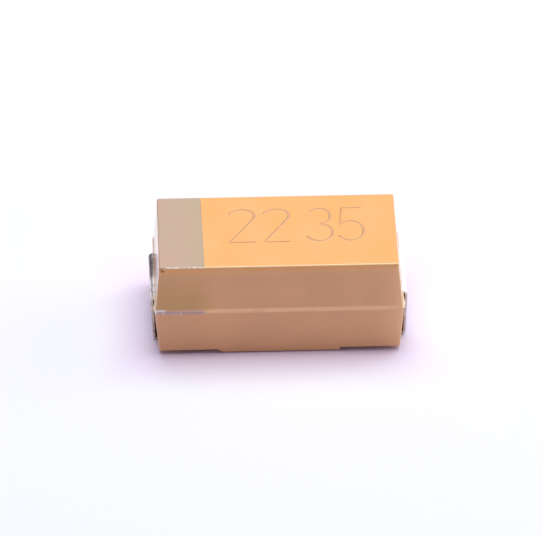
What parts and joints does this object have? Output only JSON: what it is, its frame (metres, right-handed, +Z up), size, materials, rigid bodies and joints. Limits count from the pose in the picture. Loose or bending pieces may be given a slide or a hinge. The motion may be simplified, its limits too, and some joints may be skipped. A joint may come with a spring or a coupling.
{
  "type": "tantalum capacitor",
  "caption": "Moulded solid tantalum chip capacitor: drafted resin body with a parting land, folded end terminals, and a pale polarity band on its top face.",
  "frame": {"origin": "on the board plane, under the middle of the part as measured over its terminals", "axes": "+X along the part from the anode end to the cathode end, +Y across it, +Z up from the board"},
  "size_m": [0.0074, 0.0044, 0.0028],
  "materials": {
    "case_resin": "matte moulded epoxy",
    "tinned_lead": "satin tin plate",
    "band_mark": "matte film",
    "sintered_tantalum": "matte porous sinter",
    "tantalum_wire": "drawn wire",
    "ptfe": "satin",
    "manganese_dioxide": "matte",
    "carbon": "matte",
    "silver_paint": "matte metallic",
    "silver_glue": "matte metallic"
  },
  "bodies": {
    "root": {"moulded_case": "case_resin", "anode_terminal": "tinned_lead", "cathode_terminal": "tinned_lead", "polarity_band": "band_mark", "tantalum_pellet": "sintered_tantalum", "riser_wire": "tantalum_wire", "insulating_washer": "ptfe", "manganese_dioxide_coat": "manganese_dioxide", "carbon_coat": "carbon", "silver_coat": "silver_paint", "silver_adhesive": "silver_glue"}
  },
  "joints": []
}
